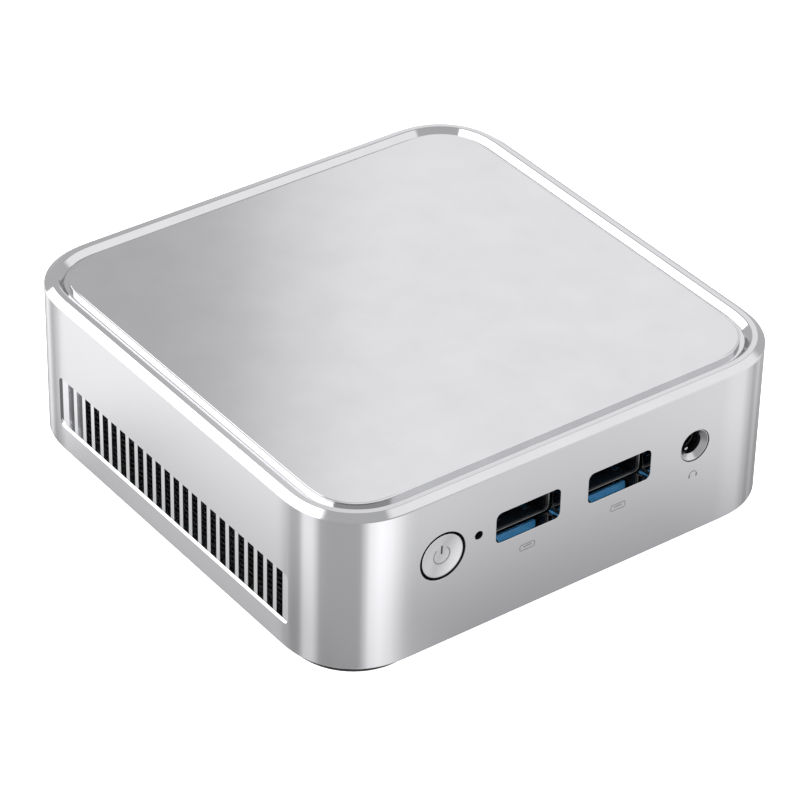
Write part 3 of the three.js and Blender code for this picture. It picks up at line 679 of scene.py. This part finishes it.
def dust_meshes():
    """A woven-looking black sheet behind each vent: a bar behind every rib and thin cross wires."""
    for side in ("left", "right"):
        low, high = extent(f"dust_mesh_{side}")
        bm = bmesh.new()
        x0, x1 = low.x, high.x
        block(bm, (x0, low.y, low.z), (x1, high.y, low.z + 0.6))
        block(bm, (x0, low.y, high.z - 0.6), (x1, high.y, high.z))
        count = SLOT_COUNT - SLOT_BLIND
        for k in range(count + 1):
            y = SLOT_Y + (k - SLOT_COUNT / 2) * SLOT_PITCH
            y = min(max(y, low.y + 0.55), high.y - 0.35)
            block(bm, (x0 + 0.02, y - 0.3, low.z + 0.3), (x1 - 0.02, y + 0.3, high.z - 0.3))
        rows = 9
        for k in range(rows):
            z = low.z + (high.z - low.z) * (k + 1) / (rows + 1)
            block(bm, (x0 + 0.12, low.y + 0.2, z - 0.14), (x1 - 0.12, high.y - 0.2, z + 0.14))
        piece(f"dust_mesh_{side}_visual", bm, MESH_BLACK, [f"dust_mesh_{side}"])


# ---- front ----


def power_button():
    low, high = extent("power_button")
    at = middle("power_button")
    face, flange = low.y, FRONT + 2.8

    def depth(r):
        return face + BUTTON_DISH * (1 - (r / BUTTON_EDGE) ** 2)

    cap = [(0, depth(0))] + [(r, depth(r)) for r in (0.8, 1.6, 2.4, 3.1, 3.7, 4.2)]
    cap += [(BUTTON_EDGE, face), (4.45, face + 0.015), (BUTTON_SIDE, face + 0.05)]
    cap += [
        (BUTTON_SIDE, flange), (BUTTON_FLANGE, flange), (BUTTON_FLANGE, flange + 0.5),
        (BUTTON_STEM, flange + 0.5), (BUTTON_STEM, high.y), (0, high.y),
    ]
    bm = bmesh.new()
    lathe(bm, cap, (at.x, 0, at.z), axis="y", count=96)
    piece("power_button_cap", bm, SATIN, ["power_button"], body="button")

    bm = bmesh.new()

    def spots(r, u, v):
        """Two points at one place of the mark, just before and just behind the dished face."""
        return [bm.verts.new((at.x + u, depth(r) + proud, at.z + v)) for proud in MARK_PROUD]

    count = 48
    ring = []
    for i in range(count + 1):
        a = math.radians(90 + MARK_GAP + (360 - 2 * MARK_GAP) * i / count)
        inner, outer = (spots(r, r * math.cos(a), r * math.sin(a)) for r in MARK_RING)
        ring.append(inner + outer)
    strip(bm, ring)
    ring_faces = set(bm.faces)
    strip(bm, [spots(r, -MARK_BAR, r) + spots(r, MARK_BAR, r) for r in (0.25, 0.8, 1.4, 2.1)])
    for f in bm.faces:
        f.material_index = 0 if f in ring_faces else 1
    piece("power_button_mark", bm, [PRINT, CHIP], body="button")


def strip(bm, cells):
    """Skins a ribbon. A cross-section is inner front, inner back, outer front and outer back."""
    order = (0, 2, 3, 1)
    for a, b in zip(cells, cells[1:]):
        for i in range(4):
            p, q = order[i], order[(i + 1) % 4]
            bm.faces.new((a[p], a[q], b[q], b[p]))
    for end in (cells[0], cells[-1]):
        bm.faces.new([end[i] for i in order])


def light_pipe():
    low, high = extent("light_pipe")
    at = middle("light_pipe")
    z = high.z - LIGHT_BELOW_TOP
    bm = bmesh.new()
    profile = [
        (0, FRONT + 0.95), (0.35, FRONT + 1), (LIGHT_R, FRONT + 1.2), (LIGHT_R, FRONT + 6),
        (0, FRONT + 6),
    ]
    lathe(bm, profile, (at.x, 0, z), axis="y", count=32)
    block(bm, (at.x - 1, FRONT + 5.2, low.z), (at.x + 1, FRONT + 6.8, high.z), 0.1)
    piece("light_pipe_visual", bm, SMOKED, ["light_pipe"])


def audio_jack():
    at = middle("audio_jack_sleeve")
    bm = bmesh.new()
    profile = [
        (3.14, FRONT + 0.04), (3.26, FRONT + 0.03), (SLEEVE_R, FRONT + 0.1),
        (SLEEVE_R, FRONT + SLEEVE_BACK), (SLEEVE_BORE, FRONT + SLEEVE_BACK), (SLEEVE_BORE, FRONT + 1),
        (2.26, FRONT + 0.9), (2.98, FRONT + 0.26),
    ]
    centre = (at.x - SLEEVE_SHIFT, 0, at.z + SLEEVE_SHIFT)
    lathe(bm, profile, centre, axis="y", count=72, bands=[0, 0, 0, 1, 1, 0, 0, 0])
    piece(
        "audio_jack_sleeve_visual", bm, [SLEEVE, GLOSS_BLACK], ["audio_jack_sleeve"]
    )
    low, high = extent("audio_jack_body")
    bm = bmesh.new()
    block(bm, (low.x, low.y, low.z), (high.x, high.y, high.z), 0.2)
    body = object_of("audio_jack_body_visual", bm, [GLOSS_BLACK])
    bore = bmesh.new()
    flared_prism(
        bore, at_y, lambda g: circle(JACK_BORE + g, 48, at.x, at.z), low.y, high.y - 1.7, -1, 0.2
    )
    carve(body, [bore])
    keep(body, ["audio_jack_body"])
    bm = bmesh.new()
    block(bm, (at.x - 1, FRONT + 1.6, at.z - 1.95), (at.x - 0.1, FRONT + 2.4, at.z - 1.1), 0.25)
    block(bm, (at.x + 1.2, FRONT + 5, at.z - 0.5), (at.x + 1.7, FRONT + 9, at.z + 0.5), 0.12)
    piece("audio_jack_contacts", bm, STEEL)


# ---- USB sockets, front and rear ----


def usb_socket(end, i):
    low, high = extent(f"usb_shell_{end}_{i}")
    at = (low + high) / 2
    inwards = 1 if end == "front" else -1
    mouth = low.y if end == "front" else high.y
    length = high.y - low.y
    outer_u, outer_v = 6.65, 3.0
    flare = 0.3 if end == "front" else 0.0
    steps = [
        (0.25 + 0.1, outer_u + flare, outer_v + flare * 0.5, 1.2),
        (0.9, outer_u, outer_v, 0.9),
        (length, outer_u, outer_v, 0.9),
        (length, outer_u - 0.4, outer_v - 0.4, 0.5),
        (0.9, outer_u - 0.4, outer_v - 0.4, 0.5),
        (0.3, outer_u - 0.25, outer_v - 0.3, 0.7),
        (0.05, outer_u - 0.05 + flare * 0.5, outer_v - 0.16 + flare * 0.3, 0.95),
        (0.0, outer_u + 0.0 + flare * 0.8, outer_v - 0.08 + flare * 0.4, 1.05),
    ]
    bm = bmesh.new()
    # The shell's rear end, its inner walls and its two latch springs take the near-black steel (slot 1):
    # painted shade inside the socket.
    loft(
        bm,
        [
            at_y(rounded(u, v, r, 8, at.x, at.z), mouth + inwards * along)
            for along, u, v, r in steps
        ],
        closed=True, bands=[0, 0, 1, 1, 1, 1, 2, 2],
    )
    for u in (-3.4, 3.4):
        for s in (-1, 1):
            block(
                bm, (at.x + u - 0.9, mouth + inwards * 4 - 2, at.z + s * 2.58 - 0.12),
                (at.x + u + 0.9, mouth + inwards * 4 + 2, at.z + s * 2.58 + 0.12), 0.1, 1,
            )
    # Slot 2, the lip round the mouth, is the darker copy of the plated steel: painted shade.
    piece(
        f"usb_shell_{end}_{i}_visual", bm, [STEEL, PAINTED_SHADE_STEEL, SHADED_LIP_STEEL],
        [f"usb_shell_{end}_{i}"],
    )

    low, high = extent(f"usb_insulator_{end}_{i}")
    tip = low.y if end == "front" else high.y
    back = high.y if end == "front" else low.y
    bm = bmesh.new()
    ys = sorted((back - inwards * 4.5, back))
    block(bm, (low.x, ys[0], low.z), (high.x, ys[1], high.z), 0.12)
    tongue_low, tongue_high = at.z - 0.4, at.z + 1.5
    rings = [
        (tip, 0.22), (tip + inwards * 0.1, 0.08), (tip + inwards * 0.4, 0.0), (back - inwards * 2, 0.0)
    ]
    mid, half = (tongue_low + tongue_high) / 2, (tongue_high - tongue_low) / 2
    loft(bm, [at_y(rounded(5.9 - t, half - t, 0.3, 4, at.x, mid), y) for y, t in rings])
    piece(
        f"usb_insulator_{end}_{i}_visual", bm, BLUE, [f"usb_insulator_{end}_{i}"]
    )
    bm = bmesh.new()
    for u in (-3.5, -1, 1, 3.5):
        ys = sorted((tip + inwards * 1.2, back - inwards * 4.6))
        near = (at.x + u - 0.5, ys[0], tongue_low - 0.06)
        block(bm, near, (at.x + u + 0.5, ys[1], tongue_low + 0.04), 0.03)
    for u in (-4, -2, 0, 2, 4):
        ys = sorted((tip + inwards * 4.2, tip + inwards * 5.6))
        near = (at.x + u - 0.25, ys[0], tongue_low - 0.2)
        block(bm, near, (at.x + u + 0.25, ys[1], tongue_low - 0.07), 0.03)
    piece(f"usb_contacts_{end}_{i}", bm, GOLD)


# ---- rear ----


def power_jack():
    low, high = extent("power_jack_body")
    at = middle("power_jack_pin")
    bm = bmesh.new()
    block(bm, (low.x, low.y, low.z), (high.x, REAR - 2.8, high.z), 0.2)
    body = object_of("power_jack_body_visual", bm, [GLOSS_BLACK])
    nose = bmesh.new()
    nose_rings = ((3.5, high.y), (3.7, high.y - 0.2), (3.7, REAR - 4))
    loft(nose, [at_y(circle(r, 64, at.x, at.z), y) for r, y in nose_rings])
    carve(body, [nose], "UNION")
    bore = bmesh.new()
    flared_prism(
        bore, at_y, lambda g: circle(2.9 + g, 64, at.x, at.z), high.y, REAR - 9.5, 1, 0.25
    )
    carve(body, [bore])
    keep(body, ["power_jack_body"])
    low, high = extent("power_jack_pin")
    bm = bmesh.new()
    profile = [
        (0, high.y), (0.45, high.y - 0.03), (0.8, high.y - 0.22), (1, high.y - 0.7), (1, low.y),
        (0, low.y),
    ]
    lathe(bm, profile, (at.x, 0, at.z), axis="y", count=32)
    piece("power_jack_pin_visual", bm, STEEL, ["power_jack_pin"])
    bm = bmesh.new()
    block(bm, (at.x - 0.7, REAR - 9, at.z - 2.85), (at.x + 0.7, REAR - 4, at.z - 2.35), 0.1)
    piece("power_jack_spring", bm, STEEL)


def rear_details():
    """Contacts in the video and network sockets, and the network socket's two lights."""
    at = middle("video_socket_insulator")
    high = extent("video_socket_insulator")[1]
    z = middle("video_socket_shell").z
    bm = bmesh.new()
    for k in range(10):
        x = at.x + (k - 4.5) * 1.0
        block(bm, (x - 0.18, REAR - 8.4, z + 0.68), (x + 0.18, high.y - 0.35, z + 0.76), 0.02)
        block(bm, (x - 0.18, REAR - 8.4, z - 0.56), (x + 0.18, high.y - 0.35, z - 0.48), 0.02)
    piece("video_socket_contacts", bm, GOLD)

    at = middle("network_jack_insert")
    low, high = extent("network_jack_insert")
    bm = bmesh.new()
    for k in range(8):
        x = at.x + (k - 3.5) * 1.02
        run = [
            (high.y - 10.4, low.z + 9.4), (high.y - 4.2, low.z + 6.6), (high.y - 2.6, low.z + 6.3),
            (high.y - 2.2, low.z + 6.6),
        ]
        cells = []
        for y, z in run:
            cells.append(
                [
                    bm.verts.new((x + du, y, z + dz))
                    for du, dz in ((-0.2, -0.1), (-0.2, 0.1), (0.2, -0.1), (0.2, 0.1))
                ]
            )
        strip(bm, cells)
    piece("network_jack_contacts", bm, GOLD)
    for name, side, material in (("link", -1, AMBER_LIGHT), ("data", 1, GREEN_LIGHT)):
        bm = bmesh.new()
        x = at.x + side * 5.2
        block(bm, (x - 1.3, high.y - 0.6, high.z - 2.1), (x + 1.3, high.y + 0.08, high.z - 0.5), 0.15)
        piece(f"network_light_{name}", bm, material)


AMBER_LIGHT = grained(
    "amber_lens", (0.34, 0.2, 0.04), (0.4, 0.26, 0.07), (0.14, 0.24), grain=1400, patch=500,
    strength=0.05, depth=1e-5,
)
GREEN_LIGHT = grained(
    "green_lens", (0.08, 0.24, 0.08), (0.12, 0.3, 0.1), (0.14, 0.24), grain=1400, patch=500,
    strength=0.05, depth=1e-5,
)


# ---- marks printed on the front ----


def ribbon(bm, points, width, y, closed=False):
    """A raised line of flat width through points in X and Z, just proud of the front face."""
    cells = []
    count = len(points)
    for i, p in enumerate(points):
        before = Vector(points[(i - 1) % count] if closed or i else p)
        after = Vector(points[(i + 1) % count] if closed or i < count - 1 else p)
        along = (after - before).normalized()
        across = Vector((-along.y, along.x)) * width / 2
        spots = []
        for sign in (-1, 1):
            q = Vector(p) + across * sign
            for depth in PRINT_DEPTH:
                spots.append(bm.verts.new((q.x, y + depth, q.y)))
        cells.append(spots)
    if closed:
        order = (0, 2, 3, 1)
        for a, b in zip(cells, cells[1:] + cells[:1]):
            for i in range(4):
                p, q = order[i], order[(i + 1) % 4]
                bm.faces.new((a[p], a[q], b[q], b[p]))
    else:
        strip(bm, cells)


def port_marks():
    for i in (1, 2):
        at = middle(f"usb_shell_front_{i}")
        z = at.z - 6.6
        bm = bmesh.new()
        ribbon(bm, rounded(1.65, 0.62, 0.3, 5, at.x, z), 0.2, FRONT, closed=True)
        ribbon(bm, [(at.x - 0.95, z + 0.12), (at.x + 0.95, z + 0.12)], 0.3, FRONT)
        piece(f"port_mark_usb_{i}", bm, PRINT)
    at = middle("audio_jack_sleeve")
    z = at.z - 6.5
    bm = bmesh.new()
    arc = [
        (at.x + 0.85 * math.cos(math.radians(a)), z - 0.1 + 0.85 * math.sin(math.radians(a)))
        for a in range(0, 181, 15)
    ]
    ribbon(bm, arc, 0.18, FRONT)
    for s in (-1, 1):
        x = at.x + s * 0.85
        ribbon(bm, [(x, z - 0.62), (x, z + 0.02)], 0.42, FRONT)
    piece("port_mark_audio", bm, PRINT)


housing()
corner_posts()
top_cover()
bottom_cover()
feet_and_screws()
dust_meshes()
power_button()
light_pipe()
audio_jack()
for socket_end in ("front", "rear"):
    for socket in (1, 2):
        usb_socket(socket_end, socket)
power_jack()
rear_details()
port_marks()

# ---- CAD parts that keep their shape: eased edges and their own finishes ----

FINISHES = [
    (BOARD, 0.05, ["motherboard", "memory_module", "drive_module", "wireless_card"]),
    (CHIP, 0.1, ["processor"]),
    (FINS, 0.05, ["heatsink"]),
    (BLACK, 0.15, ["fan_frame", "fan_rotor", "switch_plunger", "switch_body"]),
    (GLOSS_BLACK, 0.1, ["memory_socket", "drive_socket", "wireless_socket", "coin_cell_holder"]),
    (GLOSS_BLACK, 0.1, ["video_socket_insulator", "network_jack_insert"]),
    (STEEL, 0.08, ["video_socket_shell", "network_jack_cage"]),
    (CELL, 0.2, ["coin_cell"]),
    (SCREW, 0.08, ["drive_screw", "wireless_screw"]),
    (SCREW, 0.08, [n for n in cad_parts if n.startswith("board_screw")]),
]
for finish, ease, names in FINISHES:
    for name in names:
        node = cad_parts[name]
        for part_slot in node.material_slots:
            part_slot.material = finish
        weld = node.modifiers.new("weld", "WELD")
        weld.merge_threshold = 1e-6
        rounding = node.modifiers.new("edges", "BEVEL")
        rounding.width, rounding.segments = ease * MM, 2
        rounding.limit_method, rounding.angle_limit = "ANGLE", math.radians(40)
        rounding.use_clamp_overlap = True

# ---- stage: a plain pale floor and backdrop, and a disc of painted shade that only reflections see ----

WIDE = 6.0


def plain(name, colour, strength=0.0):
    material, _, _, shader = new_material(name)
    shader.inputs["Base Color"].default_value = (*colour, 1)
    shader.inputs["Roughness"].default_value = 0.9
    shader.inputs["Specular IOR Level"].default_value = 0.0
    if strength:
        shader.inputs["Emission Color"].default_value = (1, 1, 1, 1)
        shader.inputs["Emission Strength"].default_value = strength
    return material


def contact_shade(name):
    """Painted shade that only reflections see: clear far from the case and greyer towards the foot of its
    walls, less so round the corners.
    """
    material, nodes, links, shader = new_material(name)
    nodes.remove(shader)
    coordinates = nodes.new("ShaderNodeTexCoord")
    parts = nodes.new("ShaderNodeSeparateXYZ")
    links.new(coordinates.outputs["Object"], parts.inputs[0])

    def math_node(operation, *values):
        node = nodes.new("ShaderNodeMath")
        node.operation = operation
        for i, value in enumerate(values):
            if isinstance(value, (int, float)):
                node.inputs[i].default_value = value
            else:
                links.new(value, node.inputs[i])
        return node.outputs[0]

    def falling(value, start, end):
        node = nodes.new("ShaderNodeMapRange")
        node.interpolation_type = "SMOOTHSTEP"
        node.inputs["From Min"].default_value = start * MM
        node.inputs["From Max"].default_value = end * MM
        links.new(value, node.inputs["Value"])
        return node.outputs["Result"]

    x = math_node("ABSOLUTE", parts.outputs["X"])
    y = math_node("ABSOLUTE", parts.outputs["Y"])
    dx = math_node("MAXIMUM", math_node("SUBTRACT", x, BOSS * MM), 0.0)
    dy = math_node("MAXIMUM", math_node("SUBTRACT", y, BOSS * MM), 0.0)
    squares = math_node("ADD", math_node("MULTIPLY", dx, dx), math_node("MULTIPLY", dy, dy))
    away = math_node("SQRT", squares)
    near = math_node("SUBTRACT", 1.0, falling(away, CORNER_R + SHADE_START, CORNER_R + SHADE_END))
    left = math_node("MULTIPLY", parts.outputs["X"], -1.0)
    right_part = math_node("MULTIPLY", falling(parts.outputs["X"], 24, 56), SHADE_RIGHT)
    sides = math_node("MAXIMUM", falling(left, 21, 53), right_part)
    corner = math_node("MULTIPLY", sides, falling(y, 27, 57))
    weaker = math_node("SUBTRACT", 1.0, math_node("MULTIPLY", corner, SHADE_CORNER))
    most = math_node("ADD", math_node("MULTIPLY", falling(left, 30, 56), SHADE_LEFT), SHADE)
    shade_by = math_node("MULTIPLY", math_node("MULTIPLY", near, weaker), most)
    clear = nodes.new("ShaderNodeBsdfTransparent")
    grey = nodes.new("ShaderNodeCombineColor")
    passed = math_node("SUBTRACT", 1.0, shade_by)
    for i in range(3):
        links.new(passed, grey.inputs[i])
    links.new(grey.outputs[0], clear.inputs["Color"])
    links.new(clear.outputs[0], nodes["Material Output"].inputs["Surface"])
    return material


def disc(name, z, radius, material):
    bm = bmesh.new()
    points = [bm.verts.new((u, v, z)) for u, v in circle(radius, 64)]
    bm.faces.new(points)
    mesh = bpy.data.meshes.new(name)
    bm.to_mesh(mesh)
    bm.free()
    mesh.materials.append(material)
    obj = bpy.data.objects.new(name, mesh)
    scene.collection.objects.link(obj)
    return obj


FLOOR_GLOW = 1.0
floor = disc("studio_floor", -0.0002, WIDE, plain("floor_paper", (0.86, 0.86, 0.86), FLOOR_GLOW))
floor.visible_glossy = False
SHADE, SHADE_CORNER, SHADE_START, SHADE_END = 0.47, 0.75, -6.0, 42.0
SHADE_LEFT, SHADE_RIGHT = 0.025, 0.5
# This disc is seen only by reflections: it paints contact shade into what the metal mirrors below its
# walls.
reflected_shade_disc = disc("contact_shade", -0.0001, WIDE, contact_shade("contact_shade"))
for ray in ("camera", "diffuse", "shadow", "transmission", "volume_scatter"):
    setattr(reflected_shade_disc, f"visible_{ray}", False)

bm = bmesh.new()
bmesh.ops.create_uvsphere(bm, u_segments=48, v_segments=24, radius=WIDE * 0.98)
bmesh.ops.reverse_faces(bm, faces=bm.faces)
dome_mesh = bpy.data.meshes.new("backdrop")
bm.to_mesh(dome_mesh)
bm.free()
dome_mesh.materials.append(plain("backdrop_white", (0, 0, 0), 1.1))
dome = bpy.data.objects.new("backdrop", dome_mesh)
scene.collection.objects.link(dome)
for ray in ("glossy", "diffuse", "shadow", "transmission", "volume_scatter"):
    setattr(dome, f"visible_{ray}", False)

# ---- studio: what the metal mirrors, as brightness by direction ----

# Azimuths in degrees from +X, from -180 to 180, and brightness.
LOW_CARDS = [
    (-180, 0.95), (-175, 0.6), (-161, 0.56), (-118, 0.56), (-111.5, 0.9), (-103, 1.42), (-88, 1.62),
    (-74, 1.52), (-64, 1.3), (-56, 1.03), (-50, 0.85), (-46, 1.16), (-32, 1.16), (-16, 0.83), (-7, 0.6),
    (7, 0.82), (17, 0.55), (46, 0.56), (49, 1.15), (52.6, 1.15), (57, 0.62), (74, 0.62), (92, 1.28),
    (107, 0.64), (115.5, 0.92), (121.5, 1.5), (131, 0.96), (139, 0.66), (149, 0.66), (160, 1.3),
    (173, 1.28), (180, 0.95),
]
HIGH_CARDS = [
    (-180, 2.9), (-174, 2.9), (-169, 0.6), (-61, 0.6), (-56.5, 1.2), (-8, 1.2), (2, 0.62), (38, 0.62),
    (44, 1.15), (53.6, 1.15), (57.2, 0.62), (101, 0.61), (104, 2.9), (180, 2.9),
]
OVERHEAD = 0.6
CARD_LIMIT = 4.0


def studio():
    world = bpy.data.worlds.new("studio")
    scene.world = world
    world.use_nodes = True
    world.cycles.sampling_method = "NONE"
    nodes, links = world.node_tree.nodes, world.node_tree.links
    background = nodes["Background"]
    coordinates = nodes.new("ShaderNodeTexCoord")
    parts = nodes.new("ShaderNodeSeparateXYZ")
    links.new(coordinates.outputs["Generated"], parts.inputs[0])
    angle = nodes.new("ShaderNodeMath")
    angle.operation = "ARCTAN2"
    links.new(parts.outputs["Y"], angle.inputs[0])
    links.new(parts.outputs["X"], angle.inputs[1])
    turn = nodes.new("ShaderNodeMapRange")
    turn.inputs["From Min"].default_value = -math.pi
    turn.inputs["From Max"].default_value = math.pi
    links.new(angle.outputs[0], turn.inputs["Value"])

    def ramp(cards):
        node = nodes.new("ShaderNodeValToRGB")
        node.color_ramp.interpolation = "EASE"
        elements = node.color_ramp.elements
        while len(elements) < len(cards):
            elements.new(0.5)
        for element, (azimuth, level) in zip(elements, cards):
            element.position = (azimuth + 180) / 360
            level /= CARD_LIMIT
            element.color = (level, level * 0.996, level * 1.01, 1)
        links.new(turn.outputs["Result"], node.inputs["Fac"])
        return node.outputs["Color"]

    def fade(start, end):
        node = nodes.new("ShaderNodeMapRange")
        node.interpolation_type = "SMOOTHSTEP"
        node.inputs["From Min"].default_value = start
        node.inputs["From Max"].default_value = end
        links.new(parts.outputs["Z"], node.inputs["Value"])
        return node.outputs["Result"]

    low_high = nodes.new("ShaderNodeMix")
    low_high.data_type = "RGBA"
    links.new(fade(-0.35, -0.1), low_high.inputs[0])
    links.new(ramp(LOW_CARDS), low_high.inputs[6])
    links.new(ramp(HIGH_CARDS), low_high.inputs[7])
    top = nodes.new("ShaderNodeMix")
    top.data_type = "RGBA"
    links.new(fade(0.855, 0.9), top.inputs[0])
    links.new(low_high.outputs[2], top.inputs[6])
    top.inputs[7].default_value = (*[OVERHEAD / CARD_LIMIT] * 3, 1)
    links.new(top.outputs[2], background.inputs["Color"])
    background.inputs["Strength"].default_value = CARD_LIMIT


studio()


def area_light(name, place, target, size, watts):
    light = bpy.data.lights.new(name, "AREA")
    light.shape, light.size, light.energy = "SQUARE", size, watts
    obj = bpy.data.objects.new(name, light)
    obj.location = place
    obj.rotation_euler = (Vector(target) - Vector(place)).to_track_quat("-Z", "Y").to_euler()
    scene.collection.objects.link(obj)
    return obj


overhead = area_light("overhead", (0.0, -0.1, 1.4), (0, 0, 0), 1.2, 14)
overhead.visible_glossy = False

# ---- camera ----

AZIMUTH, ELEVATION, ROLL = -36.982, 34.496, 1.294
DISTANCE, LENS, SHIFT_Y = 0.7124, 169.39, -0.0285
TARGET = Vector((0, 0, 0.01829))
az, el = math.radians(AZIMUTH), math.radians(ELEVATION)
back = Vector((math.sin(az) * math.cos(el), -math.cos(az) * math.cos(el), math.sin(el)))
lens = bpy.data.cameras.new("camera")
lens.lens, lens.sensor_width, lens.shift_y = LENS, 36, SHIFT_Y
lens.clip_start, lens.clip_end = 0.01, 50
camera = bpy.data.objects.new("camera", lens)
camera.location = TARGET + back * DISTANCE
aim = (-back).to_track_quat("-Z", "Y")
camera.rotation_euler = (aim.to_matrix() @ Matrix.Rotation(math.radians(ROLL), 3, "Z")).to_euler()
scene.collection.objects.link(camera)
scene.camera = camera
scene.view_settings.view_transform = "Standard"
